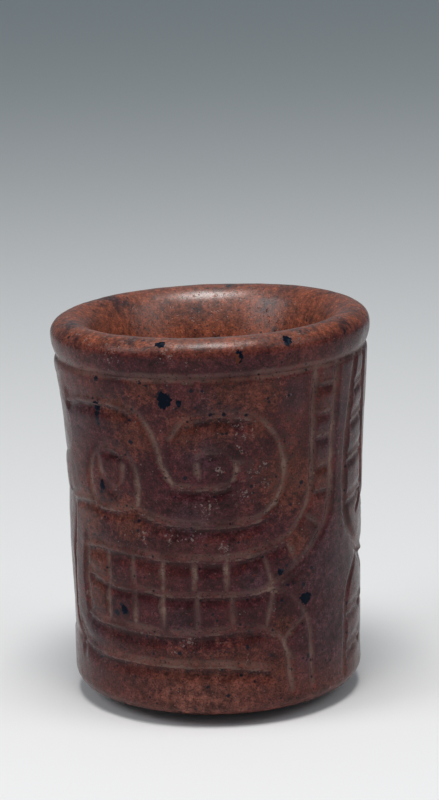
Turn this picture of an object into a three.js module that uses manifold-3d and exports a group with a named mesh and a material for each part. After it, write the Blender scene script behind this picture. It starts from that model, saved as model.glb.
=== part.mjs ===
import * as THREE from "three";
import { mergeVertices } from "three/addons/utils/BufferGeometryUtils.js";
import Module from "manifold-3d";

const wasm = await Module();
wasm.setup();

// A hand-sized grinding bowl cut from one block of red-brown stone, in millimetres, Z up.
// The front faces -Y and the origin is the middle of the resting face.

// Outside of the bowl
const height = 122;
const rimDiameter = 100;
const waistDiameter = 91.4;
const restDiameter = 56;
const footRound = 5;
const footRise = 4;

// Rim: a rolled lip over a shallow crease
const lipReach = 5.7;
const lipHeight = 5;
const lipInnerRound = 8;
const lipOverhang = 0.9;
const creaseDrop = 11.2;
const creaseDepth = 0.7;
const shoulderHeight = 2.3;
const rimRise = 2;

// Inside of the bowl
const bowlDepth = 92;
const throatDepth = 16;
const throatSlope = 65;

// Carving tools
const grooveWidth = 3.6;
const grooveDepth = 1.1;
const fineWidth = 2.6;
const fineDepth = 0.9;
const scoopLift = 0.3;
const runOut = 1;

// The field between the snouts gets deeper up the wall: level in percent, depth
const fieldDepths = [
  [13, 0.3], [42, 0.3], [52, 0.6], [60, 1.1], [70, 1.3], [82, 1.2], [91, 0.9], [97, 0.2],
];

// Black nodules that the stone holds
const noduleDepth = 2.5;
const noduleClearance = 0.3;

// Facets
const segments = 56;
const carvingStep = 6.5;
const fieldColumns = 12;
const fieldRows = 24;

// Values that follow from the sizes above
const rimRadius = rimDiameter / 2;
const neckRadius = rimRadius - lipOverhang;
const waistRadius = waistDiameter / 2;
const restRadius = restDiameter / 2;
const lipZ = height - lipHeight;
const crestRadius = rimRadius - lipReach;
const creaseZ = height - creaseDrop;
const wallTop = creaseZ - shoulderHeight;
const footAngle = THREE.MathUtils.degToRad(65);
const wallFoot = footRise + footRound * Math.sin(footAngle);
const floorZ = height - bowlDepth;
const slope = THREE.MathUtils.degToRad(throatSlope);
const fullTurn = 360;
const mmPerDegree = (Math.PI * (waistRadius + neckRadius)) / fullTurn;

// The wall stands straight at the waist and flares as a parabola up to the neck.
function wallRadius(z) {
  const share = Math.max(0, (z - wallFoot) / (wallTop - wallFoot));
  return waistRadius + (neckRadius - waistRadius) * share * share;
}

// Joins two-dimensional curves, each cut into its own number of steps, into one outline.
function trace(curves) {
  const points = [];
  for (const [curve, steps] of curves) {
    const stretch = curve.getPoints(steps);
    points.push(...(points.length ? stretch.slice(1) : stretch));
  }
  return points;
}

// Half section of the plain bowl, from the middle of the underside to the middle of its floor
function bowlProfile() {
  const at = (r, z) => new THREE.Vector2(r, z);
  const footCentre = at(waistRadius - footRound, wallFoot);
  const footStart = at(
    footCentre.x + footRound * Math.cos(footAngle),
    footCentre.y - footRound * Math.sin(footAngle),
  );
  const undersideBend = at(THREE.MathUtils.lerp(restRadius, footStart.x, 0.4), 0);
  const crease = at(neckRadius - creaseDepth, creaseZ);
  const inward = at(-Math.cos(slope), -Math.sin(slope));
  const lipEnd = at(
    crestRadius - lipInnerRound * Math.sin(slope),
    height - lipInnerRound + lipInnerRound * Math.cos(slope),
  );
  const throatFall = lipEnd.y - (height - throatDepth);
  const throat = lipEnd.clone().addScaledVector(inward, throatFall / Math.sin(slope));
  const underside = new THREE.QuadraticBezierCurve(at(restRadius, 0), undersideBend, footStart);
  const foot = new THREE.EllipseCurve(
    footCentre.x, footCentre.y, footRound, footRound, -footAngle, 0, false,
  );
  const wall = new THREE.QuadraticBezierCurve(
    at(waistRadius, wallFoot),
    at(waistRadius, (wallFoot + wallTop) / 2),
    at(neckRadius, wallTop),
  );
  const shoulder = new THREE.QuadraticBezierCurve(
    at(neckRadius, wallTop),
    at(neckRadius, wallTop + shoulderHeight * 0.6),
    crease,
  );
  const underlip = new THREE.CubicBezierCurve(
    crease,
    at(crease.x + creaseDepth, crease.y + shoulderHeight * 0.5),
    at(rimRadius, lipZ - lipHeight * 0.6),
    at(rimRadius, lipZ),
  );
  const lip = new THREE.EllipseCurve(crestRadius, lipZ, lipReach, lipHeight, 0, Math.PI / 2, false);
  const lipInside = new THREE.EllipseCurve(
    crestRadius, height - lipInnerRound, lipInnerRound, lipInnerRound,
    Math.PI / 2, Math.PI / 2 + slope, false,
  );
  const bowl = new THREE.CubicBezierCurve(
    throat,
    throat.clone().addScaledVector(inward, throatDepth * 0.75),
    at(throat.x * 0.94, floorZ),
    at(0, floorZ),
  );
  return trace([
    [new THREE.LineCurve(at(0, 0), at(restRadius, 0)), 1],
    [underside, 2],
    [foot, 3],
    [wall, 3],
    [shoulder, 2],
    [underlip, 3],
    [lip, 4],
    [lipInside, 3],
    [new THREE.LineCurve(lipEnd, throat), 1],
    [bowl, 7],
  ]);
}

function toSolid(geometry) {
  const bare = geometry.clone();
  bare.deleteAttribute("normal");
  bare.deleteAttribute("uv");
  const welded = mergeVertices(bare);
  const mesh = new wasm.Mesh({
    numProp: 3,
    vertProperties: new Float32Array(welded.attributes.position.array),
    triVerts: new Uint32Array(welded.index.array),
  });
  return new wasm.Manifold(mesh);
}

function toGeometry(solid) {
  const mesh = solid.getMesh();
  const geometry = new THREE.BufferGeometry();
  geometry.setAttribute("position", new THREE.BufferAttribute(mesh.vertProperties, 3));
  geometry.setIndex(new THREE.BufferAttribute(mesh.triVerts, 1));
  return geometry;
}

function turned(points) {
  return toSolid(new THREE.LatheGeometry(points, segments).rotateX(Math.PI / 2));
}

// The carving is drawn flat and then wrapped round the wall. A drawn point is an angle round
// the wall, in degrees from the front, and a level, in percent of the way up the wall.
function flat(degrees, level) {
  const z = THREE.MathUtils.lerp(wallFoot, wallTop, level / 100);
  return new THREE.Vector3(degrees * mmPerDegree, z, 0);
}

function wrapped(geometry) {
  const position = geometry.attributes.position;
  for (let i = 0; i < position.count; i += 1) {
    const angle = THREE.MathUtils.degToRad(position.getX(i) / mmPerDegree);
    const radius = wallRadius(position.getY(i)) + position.getZ(i);
    const z = position.getY(i);
    position.setXYZ(i, radius * Math.sin(angle), -radius * Math.cos(angle), z);
  }
  return toSolid(geometry);
}

// A groove is a wide V carried along a smooth line through the drawn points.
function groove(points, width = grooveWidth, depth = grooveDepth) {
  const line = new THREE.CatmullRomCurve3(
    points.map(([degrees, level]) => flat(degrees, level)),
    false,
    "centripetal",
  );
  const mouth = (width / 2) * (1 + runOut / depth);
  const section = new THREE.Shape([
    new THREE.Vector2(-runOut, -mouth),
    new THREE.Vector2(depth, 0),
    new THREE.Vector2(-runOut, mouth),
  ]);
  const steps = Math.max(1, Math.round(line.getLength() / carvingStep));
  return wrapped(new THREE.ExtrudeGeometry(section, { steps, extrudePath: line }));
}

// A tooth cut is a long pointed scoop from one drawn point to another, with its middle line
// held a little above the wall so that both ends run out cleanly.
function scoop(start, end) {
  const from = flat(...start);
  const to = flat(...end);
  const along = to.clone().sub(from);
  const middle = from.clone().add(to).multiplyScalar(0.5);
  const geometry = new THREE.SphereGeometry(1, 6, 5);
  geometry.scale(fineWidth / 2, along.length() / 2, fineDepth + scoopLift);
  geometry.rotateZ(Math.atan2(-along.x, along.y));
  geometry.translate(middle.x, middle.y, scoopLift);
  return wrapped(geometry);
}

function fieldDepth(level) {
  const next = fieldDepths.findIndex(([end]) => end > level);
  if (next <= 0) {
    return (next === 0 ? fieldDepths[0] : fieldDepths.at(-1))[1];
  }
  const [[low, shallow], [high, deep]] = fieldDepths.slice(next - 1, next + 1);
  return THREE.MathUtils.mapLinear(level, low, high, shallow, deep);
}

// The field between the two snouts is sunk into the wall. It is a block cut into a grid: its
// rows follow the front head's outline up the wall, and each runs round to the other head.
function sunkField(outline) {
  const edge = new THREE.CatmullRomCurve3(
    outline.map(([degrees, level]) => new THREE.Vector3(degrees, level, 0)),
    false,
    "centripetal",
  );
  const block = new THREE.BoxGeometry(1, 1, 1, fieldColumns, fieldRows, 1);
  const position = block.attributes.position;
  for (let i = 0; i < position.count; i += 1) {
    const start = edge.getPoint(position.getY(i) + 0.5);
    const farSide = 2 * headTurn - start.x - fullTurn;
    const degrees = THREE.MathUtils.lerp(farSide, start.x, position.getX(i) + 0.5);
    const { x, y } = flat(degrees, start.y);
    position.setXYZ(i, x, y, position.getZ(i) > 0 ? runOut : -fieldDepth(start.y));
  }
  return wrapped(block);
}

// The head in profile, looking to the left, with its teeth to the front of the bowl
const browLine = [
  [-66, 92.2], [-56, 93.6], [-45, 94.2], [-35, 93.3], [-28, 90.9], [-24.4, 87], [-21.5, 81],
  [-18.6, 73.5], [-15.3, 68.8],
];
const pupilScroll = [[-15.3, 68.8], [-7, 68.4], [1, 68], [6, 69.5], [8.2, 72.5], [8, 75.6]];
const eyeRing = [
  [-15.8, 83.5], [-11.5, 87.8], [-2, 90.8], [7, 90.8], [17, 88.2], [23.6, 82.5], [26.8, 74.5],
  [24.8, 64.8], [18, 58.5], [10, 57], [-8, 57], [-19, 57.8], [-29, 60.3],
];
const nostrilRing = [
  [-51.5, 61.8], [-52.8, 69], [-50.5, 76.3], [-43.5, 79.6], [-34.5, 77.8], [-30, 73],
  [-29.7, 66], [-30.4, 61.5],
];
const nostrilFloor = [[-52, 61.9], [-45, 60.4], [-37, 60.3], [-30.4, 61.5]];
const snoutLine = [[-52, 61.9], [-61, 61.4], [-70, 61]];
const lipLine = [
  [-58, 47], [-46, 47.5], [-30, 46.9], [-10, 46], [4, 45.9], [16, 47.3], [28, 51.2], [35, 56.5],
  [38.6, 64], [39.3, 78], [40, 90], [40.6, 100.9],
];
const gumLine = [[-57, 37.3], [-45, 36], [-30, 35.3], [-12, 34.5], [6, 34.4], [16, 34.9], [22, 36.2]];
const chinLine = [
  [-59.5, 25], [-54, 23.4], [-40, 22.8], [-25, 22.3], [-5, 22.7], [12, 23.5], [19, 22],
  [25, 18.6], [28.3, 13], [29, 7], [29.8, 1.5],
];
const toothRowEnd = [[-59.5, 44], [-61, 35], [-59.5, 26]];
const jawLine = [
  [-67.5, 17.2], [-61, 13.8], [-50, 12.5], [-30, 12.3], [-8, 12.2], [8, 11.6], [20, 10],
];
const upperTeeth = [-46.1, -33.4, -20.8, -8.7, 3.8].map((deg) => [[deg, 46.6], [deg, 34.8]]);
const lowerTeeth = [-46.6, -33.3, -21.2, -7.8, 5.7].map((deg) => [[deg, 34.8], [deg, 22.8]]);
const backTeeth = [
  [[17.8, 46.6], [22, 36.1]],
  [[27.8, 49.6], [32.4, 41]],
  [[36.2, 56.2], [45.6, 50.6]],
  [[22.2, 34.4], [19, 22.8]],
  [[37, 24.2], [26.4, 18.2]],
];
const rungLevels = [64, 71.8, 80.6, 88.3, 97];
const rungStart = 41.2;
const rungEnd = 48.8;
const headTurn = 57.5;

// Each head has its own back border, because the two aren't quite alike.
const frontHeadBorder = [
  [20, 35.6], [27, 38.2], [36, 43.2], [42.5, 48], [46.6, 53], [48.6, 60], [49.2, 70], [50, 82],
  [51.4, 100.9],
];
const frontHeadThroat = [
  [21.1, 35.1], [27, 33.4], [32, 29.8], [36.5, 24.8], [38.9, 18], [39.4, 9], [40, 1.1],
];
const sideHeadBorder = [
  [93, 35.7], [82, 37.3], [72.5, 40.4], [65.5, 45.3], [60.4, 51.3], [58.2, 60.5], [58.3, 71.5],
  [60.6, 83.5], [64.6, 100.9],
];
const sideHeadThroat = [
  [80, 36.5], [73, 37.2], [67, 32.7], [62.4, 27.3], [60.4, 19.5], [59.8, 10], [59.6, 1.1],
];
const sideRungs = [[66, 92.6], [63.3, 82.4], [61, 70.5], [61, 57.4], [62.5, 20.9], [62.5, 9.3]];
const sideRungEnd = 75.5;

// Outline of the front head towards the field, from its chin up over the snout to the forehead
const snoutOutline = [
  [-66, 13.3], [-72, 18], [-74, 27.5], [-73, 39.5], [-70, 49.5], [-68.5, 56.5], [-70.5, 59.9],
  [-81, 60.9], [-92, 61.7], [-97, 64.5], [-96, 68], [-90, 70], [-78, 71.5], [-70, 75],
  [-67, 80.5], [-68.5, 86.5], [-75, 90], [-76, 97],
];
const cheekLine = snoutOutline.slice(0, 6);

// Cuts that both heads have; place turns drawn points into their mirror image for the second.
function headCuts(place) {
  const cuts = [];
  for (const line of [browLine, eyeRing, lipLine, chinLine, jawLine, cheekLine]) {
    cuts.push(groove(place(line)));
  }
  for (const line of [pupilScroll, nostrilRing, nostrilFloor, snoutLine, gumLine, toothRowEnd]) {
    cuts.push(groove(place(line), fineWidth, fineDepth));
  }
  for (const tooth of [...upperTeeth, ...lowerTeeth, ...backTeeth]) {
    const [from, to] = place(tooth);
    cuts.push(scoop(from, to));
  }
  return cuts;
}

function asDrawn(line) {
  return line;
}

function mirrored(line) {
  return line.map(([degrees, level]) => [2 * headTurn - degrees, level]);
}

function carvingCuts() {
  const cuts = [...headCuts(asDrawn), ...headCuts(mirrored)];
  for (const line of [frontHeadBorder, frontHeadThroat, sideHeadBorder, sideHeadThroat]) {
    cuts.push(groove(line));
  }
  for (const level of rungLevels) {
    cuts.push(groove([[rungStart, level], [rungEnd, level]], fineWidth, fineDepth));
  }
  for (const [start, level] of sideRungs) {
    cuts.push(groove([[start, level], [sideRungEnd, level]], fineWidth, fineDepth));
  }
  cuts.push(sunkField(snoutOutline));
  return cuts;
}

// Nodules: name, degrees round from the front, place, width, height and turn of the outline.
// The place is a level on the wall, or an angle up the lip from its widest point.
const wallNodules = [
  ["nodule_below_rim_large", -16.9, 95.8, 4.6, 5.5, 0],
  ["nodule_below_rim_small", -11.7, 94.5, 1.8, 2.4, 1],
  ["nodule_brow", -46.7, 91.6, 3, 3.6, 2],
  ["nodule_nostril", -46, 66.6, 2.2, 3.6, 3],
  ["nodule_lower_tooth", -38.4, 27.6, 2.6, 3.2, 4],
  ["nodule_mouth_corner", 36, 30.2, 4.4, 4, 5],
  ["nodule_upper_tooth", 25, 39.9, 2.2, 2.4, 1],
];
const lipNodules = [
  ["nodule_rim_right", 28, 40, 3, 4, 0],
  ["nodule_rim_left", -18, 55, 3.4, 2.6, 2],
  ["nodule_rim_front", 9.5, -4, 2.4, 4.6, 4],
];
const noduleShares = [1, 0.84, 1.08, 0.9, 1.04, 0.8];

// A prism with a lumpy outline, sunk into the surface along the surface's own outward direction
function nodulePrism(point, lean, degrees, width, tall, turn, clearance) {
  const corners = noduleShares.map((share, i) => {
    const angle = ((i + turn * 0.5) / noduleShares.length) * 2 * Math.PI;
    return new THREE.Vector2(
      (share * width / 2 + clearance) * Math.cos(angle),
      (share * tall / 2 + clearance) * Math.sin(angle),
    );
  });
  const outline = new THREE.Shape(new THREE.SplineCurve([...corners, corners[0]]).getPoints(12));
  const sunk = noduleDepth + clearance;
  const geometry = new THREE.ExtrudeGeometry(outline, {
    depth: sunk + runOut,
    bevelEnabled: false,
  });
  geometry.translate(0, 0, -sunk);
  geometry.rotateX(Math.PI / 2 - lean);
  geometry.translate(0, -point.x, point.y);
  geometry.rotateZ(THREE.MathUtils.degToRad(degrees));
  return toSolid(geometry);
}

function noduleSeats() {
  const onWall = wallNodules.map(([name, degrees, level, width, tall, turn]) => {
    const z = flat(0, level).y;
    return { name, degrees, point: new THREE.Vector2(wallRadius(z), z), lean: 0, width, tall, turn };
  });
  const onLip = lipNodules.map(([name, degrees, up, width, tall, turn]) => {
    const lean = THREE.MathUtils.degToRad(up);
    const point = new THREE.Vector2(
      crestRadius + lipReach * Math.cos(lean),
      lipZ + lipHeight * Math.sin(lean),
    );
    return { name, degrees, point, lean, width, tall, turn };
  });
  return [...onWall, ...onLip];
}

function seatPrism({ point, lean, degrees, width, tall, turn }, clearance) {
  return nodulePrism(point, lean, degrees, width, tall, turn, clearance);
}

// The rim was cut a little out of level: everything rises towards +X in step with its height.
function outOfLevel(geometry) {
  const position = geometry.attributes.position;
  for (let i = 0; i < position.count; i += 1) {
    const z = position.getZ(i);
    position.setZ(i, z + rimRise * (position.getX(i) / rimDiameter) * (z / height));
  }
  geometry.computeVertexNormals();
  return geometry;
}

const stone = new THREE.MeshStandardMaterial({ color: 0x6e4038, roughness: 0.5, metalness: 0 });
const blackMineral = new THREE.MeshStandardMaterial({
  color: 0x1b2028,
  roughness: 0.4,
  metalness: 0.1,
});

function addPiece(group, name, solid, material) {
  const mesh = new THREE.Mesh(outOfLevel(toGeometry(solid)), material);
  mesh.name = name;
  group.add(mesh);
}

const plainBowl = turned(bowlProfile());
const carvedBowl = carvingCuts().reduce((bowl, cut) => bowl.subtract(cut), plainBowl);
const seats = noduleSeats();
const bowlWithSockets = seats.reduce(
  (bowl, seat) => bowl.subtract(seatPrism(seat, noduleClearance)),
  carvedBowl,
);

const grindingBowl = new THREE.Group();
addPiece(grindingBowl, "bowl_body", bowlWithSockets, stone);
for (const seat of seats) {
  addPiece(grindingBowl, seat.name, carvedBowl.intersect(seatPrism(seat, 0)), blackMineral);
}

export default grindingBowl;
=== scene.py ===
"""A stone grinding bowl: the carved red-brown body, its black mineral nodules and the studio.

The carving is drawn as in the solids: in degrees round the wall from the front, positive
towards +X, and in percent of the way up the wall. Lengths are in metres, or in millimetres
where a name or a comment says so.
"""

import bpy
import numpy as np
from bpy.props import FloatProperty, FloatVectorProperty, IntProperty, PointerProperty
from mathutils import Matrix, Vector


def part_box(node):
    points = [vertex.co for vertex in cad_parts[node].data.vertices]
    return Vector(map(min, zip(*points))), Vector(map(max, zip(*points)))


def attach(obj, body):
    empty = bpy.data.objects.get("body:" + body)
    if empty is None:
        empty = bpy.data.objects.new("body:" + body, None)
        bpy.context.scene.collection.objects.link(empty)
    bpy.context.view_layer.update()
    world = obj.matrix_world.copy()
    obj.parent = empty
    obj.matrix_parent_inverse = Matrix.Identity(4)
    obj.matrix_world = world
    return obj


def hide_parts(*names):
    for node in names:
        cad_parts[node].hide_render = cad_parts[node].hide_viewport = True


bl_info = {
    "name": "Stone Grinding Bowl",
    "version": (1, 0, 0),
    "blender": (4, 5, 0),
    "location": "View3D > Sidebar > Bowl",
    "description": "Makes a carved stone grinding bowl, its mineral nodules and a studio",
    "category": "Add Mesh",
}

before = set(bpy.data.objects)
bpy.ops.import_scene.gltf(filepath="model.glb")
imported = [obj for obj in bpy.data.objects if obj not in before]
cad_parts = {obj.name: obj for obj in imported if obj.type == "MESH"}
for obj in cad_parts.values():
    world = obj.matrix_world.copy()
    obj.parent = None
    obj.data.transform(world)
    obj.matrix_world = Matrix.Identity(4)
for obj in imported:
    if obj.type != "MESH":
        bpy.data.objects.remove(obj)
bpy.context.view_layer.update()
body_low, body_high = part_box("bowl_body")

MM = 0.001

# Driving sizes of the plain bowl. The rim's width and the height come from the frame.
RIM_RADIUS = (body_high.x - body_low.x) / 2
RIM_RISE = 2 * MM
LIP_REACH = 5.7 * MM
CREST_RADIUS = RIM_RADIUS - LIP_REACH
HEIGHT = body_high.z - RIM_RISE * CREST_RADIUS / (2 * RIM_RADIUS)
LIP_HEIGHT = 5 * MM
LIP_INNER_ROUND = 8 * MM
LIP_OVERHANG = 0.9 * MM
LIP_Z = HEIGHT - LIP_HEIGHT
NECK_RADIUS = RIM_RADIUS - LIP_OVERHANG
WAIST_RADIUS = 45.7 * MM
REST_RADIUS = 28 * MM
FOOT_ROUND = 5 * MM
FOOT_RISE = 4 * MM
FOOT_ANGLE = np.radians(65)
CREASE_Z = HEIGHT - 11.2 * MM
CREASE_DEPTH = 0.7 * MM
SHOULDER_HEIGHT = 2.3 * MM
WALL_TOP = CREASE_Z - SHOULDER_HEIGHT
WALL_FOOT = FOOT_RISE + FOOT_ROUND * np.sin(FOOT_ANGLE)
FLOOR_Z = HEIGHT - 92 * MM
THROAT_Z = HEIGHT - 16 * MM
THROAT_SLOPE = np.radians(65)
# Metres per degree round the wall and round the rim
PER_DEGREE = np.radians(WAIST_RADIUS + NECK_RADIUS) / 2
RIM_PER_DEGREE = np.radians(RIM_RADIUS)

# Corners of the half section's curves, as lengths or as shares of the way to the next point
POLE_RADIUS = 0.2 * MM
UNDERSIDE_BEND = 0.4
SHOULDER_BEND = 0.6
CREASE_BEND = 1.15 * MM
LIP_SIDE_BEND = 3 * MM
THROAT_BEND = 12 * MM
HOLLOW_FLOOR_BEND = 0.94

# The head in profile, looking to the left, with its teeth to the front of the bowl
BROW = [
    [-66, 92.2], [-56, 93.6], [-45, 94.2], [-35, 93.3], [-28, 90.9], [-24.4, 87], [-21.5, 81],
    [-18.6, 73.5], [-15.3, 68.8],
]
PUPIL_SCROLL = [[-15.3, 68.8], [-7, 68.4], [1, 68], [6, 69.5], [8.2, 72.5], [8, 75.6]]
PUPIL_TICK = [[-5.7, 70.6], [-6.4, 76.6]]
PUPIL_TOP = [[-6.4, 78.4], [-1, 80], [4, 79], [7.4, 76.2]]
EYE_RING = [
    [-15.8, 83.5], [-11.5, 87.8], [-2, 90.8], [7, 90.8], [17, 88.2], [23.6, 82.5], [26.8, 74.5],
    [24.8, 64.8], [18, 58.5], [10, 57], [-8, 57], [-19, 57.8], [-29, 60.3],
]
NOSTRIL_RING = [
    [-51.5, 61.8], [-52.8, 69], [-50.5, 76.3], [-43.5, 79.6], [-34.5, 77.8], [-30, 73],
    [-29.7, 66], [-30.4, 61.5],
]
NOSTRIL_PUPIL = [[-48, 76.3], [-46.2, 71.3], [-43, 67.8], [-39, 66.8], [-36.3, 69.3], [-35.2, 74]]
NOSTRIL_FLOOR = [[-52, 61.9], [-45, 60.4], [-37, 60.3], [-30.4, 61.5]]
SNOUT_LINE = [[-52, 61.9], [-61, 61.4], [-70, 61]]
LIP_LINE = [
    [-58, 47], [-46, 47.5], [-30, 46.9], [-10, 46], [4, 45.9], [16, 47.3], [28, 51.2],
    [35, 56.5], [38.6, 64], [39.3, 78], [40, 90], [40.6, 100.9],
]
GUM_LINE = [
    [-57, 37.3], [-45, 36], [-30, 35.3], [-12, 34.5], [6, 34.4], [16, 34.9], [22, 36.2],
]
CHIN_LINE = [
    [-59.5, 25], [-54, 23.4], [-40, 22.8], [-25, 22.3], [-5, 22.7], [12, 23.5], [19, 22],
    [25, 18.6], [28.3, 13], [29, 7], [29.8, 1.5],
]
TOOTH_ROW_END = [[-59.5, 44], [-61, 35], [-59.5, 26]]
JAW_LINE = [
    [-67.5, 17.2], [-61, 13.8], [-50, 12.5], [-30, 12.3], [-8, 12.2], [8, 11.6], [20, 10],
]
TOOTH_LEVELS = [46.6, 34.8, 22.8]
UPPER_TEETH = [-46.1, -33.4, -20.8, -8.7, 3.8]
LOWER_TEETH = [-46.6, -33.3, -21.2, -7.8, 5.7]
BACK_TEETH = [
    [[17.8, 46.6], [22, 36.1]],
    [[27.8, 49.6], [32.4, 41]],
    [[36.2, 56.2], [45.6, 50.6]],
    [[22.2, 34.4], [19, 22.8]],
    [[37, 24.2], [26.4, 18.2]],
]
SNOUT_OUTLINE = [
    [-66, 13.3], [-72, 18], [-74, 27.5], [-73, 39.5], [-70, 49.5], [-68.5, 56.5],
    [-70.5, 59.9], [-81, 60.9], [-92, 61.7], [-97, 64.5], [-96, 68], [-90, 70], [-78, 71.5],
    [-70, 75], [-67, 80.5], [-68.5, 86.5], [-75, 90], [-76, 97],
]
CHEEK_LINE = SNOUT_OUTLINE[:6]
FIELD_MIDDLE = -140
# The field between the snouts gets deeper up the wall: level in percent, depth in mm
FIELD_DEPTHS = [
    [13, 0.3], [42, 0.3], [52, 0.6], [60, 1.1], [70, 1.3], [82, 1.2], [91, 0.9], [97, 0.2],
]
# From outside the field's outline to inside it, the wall falls over this width.
FIELD_EDGE = [-0.9 * MM, 0.8 * MM]
# The snout's tip rounds off towards the field between two angles, from where to where it
# starts and from where to where it ends up the wall.
SNOUT_TIP = [-72, -86]
SNOUT_TIP_LEVELS = [[57, 61], [78, 72]]
SNOUT_TIP_DEPTH = 0.85 * MM

# Section across a line, in its half widths. An upright line is a groove with a core at full
# depth. A level line has a crest below its middle, falls to a foot below the crest, and dips
# less deep above it. The dip is a share of the fall, and both have run out at the end.
GROOVE_CORE, GROOVE_EDGE = 0.3, 1.15
CREST_SHIFT = 0.7
FALL_FOOT = 0.5
DIP_BOTTOM = 1.3
DIP_SHARE = 0.45
LEVEL_END = 3.4
# A level line's section fades past its ends, between these two.
LEVEL_FADE = [0.2, 1.4]
# How far from a line, in half widths, it is looked for, and how far a pointed line narrows,
# as the square of its share
LINE_REACH = 5
POINT_SQUARE = 0.02
# Coloured strips at the cuts, in half widths: the middle and the half width of each, across
# a groove or up from a level line's crest. The groove strip gets pale dust, the face and crest
# strips get wear with a painted highlight, and the strip under the crest gets painted shade.
# The distance to a strip is told up to this many mm, and on a line that slants it grows by up
# to the slant's mm.
STRIPS = {
    "groove_mm": (0, 0.75), "face_mm": (0.9, 0.85), "crest_mm": (0.1, 0),
    "painted_shade_mm": (-0.5, 0.35),
}
FAR_MM = 4.0
SLANT_MM = 1.3

# Unevenness of the handwork, each with its height, its wavelength and its seed: how the lines
# sway sideways and up, how their depth varies as a share, and how the wall is uneven
SWAY = [0.25 * MM, 14 * MM, 3]
RISE_AND_FALL = [0.25 * MM, 17 * MM, 4]
DEPTH_CHANGE = [0.2, 11 * MM, 5]
UNEVENNESS = [[0.16 * MM, 34 * MM, 6], [0.07 * MM, 12 * MM, 7], [0.03 * MM, 4.5 * MM, 8]]
# The unevenness starts above the resting face and is whole from here up.
UNEVEN_FROM = 9 * MM

# The carving runs out below the crease, between these heights.
CARVING_END = [WALL_TOP + 0.8 * MM, CREASE_Z - 0.1 * MM]

# The second head is the first one turned over at this angle; their back borders differ.
HEAD_TURN = 57.5
FRONT_HEAD_BORDER = [
    [20, 35.6], [27, 38.2], [36, 43.2], [42.5, 48], [46.6, 53], [48.6, 60], [49.2, 70], [50, 82],
    [51.4, 100.9],
]
FRONT_HEAD_THROAT = [
    [21.1, 35.1], [27, 33.4], [32, 29.8], [36.5, 24.8], [38.9, 18], [39.4, 9], [40, 1.1],
]
SIDE_HEAD_BORDER = [
    [93, 35.7], [82, 37.3], [72.5, 40.4], [65.5, 45.3], [60.4, 51.3], [58.2, 60.5], [58.3, 71.5],
    [60.6, 83.5], [64.6, 100.9],
]
SIDE_HEAD_THROAT = [
    [80, 36.5], [73, 37.2], [67, 32.7], [62.4, 27.3], [60.4, 19.5], [59.8, 10], [59.6, 1.1],
]
RUNG_LEVELS = [64, 71.8, 80.6, 88.3, 97]
RUNG_START = 41.2
RUNG_END = 48.8
SIDE_RUNGS = [[66, 92.6], [63.3, 82.4], [61, 70.5], [61, 57.4], [62.5, 20.9], [62.5, 9.3]]
SIDE_RUNG_END = 75.5
SIDE_RUNG_RISE = 1.6

# Nodules on the wall: name, degrees, level, width and height in mm, turn of the outline
WALL_NODULES = [
    ["nodule_below_rim_large", -16.9, 95.8, 4.6, 5.5, 0],
    ["nodule_below_rim_small", -11.7, 94.5, 1.8, 2.4, 1],
    ["nodule_brow", -46.7, 91.6, 3, 3.6, 2],
    ["nodule_nostril", -46, 66.6, 2.2, 3.6, 3],
    ["nodule_lower_tooth", -38.4, 27.6, 2.6, 3.2, 4],
    ["nodule_mouth_corner", 36, 30.2, 4.4, 4, 5],
    ["nodule_upper_tooth", 25, 39.9, 2.2, 2.4, 1],
]
# Nodules on the lip have an angle up from its widest point in place of the level.
LIP_NODULES = [
    ["nodule_rim_right", 28, 40, 3, 4, 0],
    ["nodule_rim_left", -18, 55, 3.4, 2.6, 2],
    ["nodule_rim_front", 9.5, -4, 2.4, 4.6, 4],
]
# This one is a loose group of small flecks in the stone.
SPECKLED_NODULE = "nodule_rim_front"
NODULE_SHARES = [1, 0.84, 1.08, 0.9, 1.04, 0.8]
# Finer waves in the outline: size, number of waves, what the nodule's turn is multiplied by
NODULE_WAVES = [[0.08, 7, 1], [0.06, 11, 2], [0.04, 17, 0]]
# A nodule's rows from the middle of its underside to the middle of its top, as shares of its
# outline, of its depth under the surface and of its rise above it
NODULE_ROWS = [
    [0.25, 1, 0], [0.6, 1, 0], [0.85, 0.96, 0], [1, 0.8, 0], [1, 0.15, 0], [0.985, 0, 0.2],
    [0.9, 0, 0.75], [0.7, 0, 0.95], [0.45, 0, 1], [0.2, 0, 1],
]
NODULE_COLUMNS = 72

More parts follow.
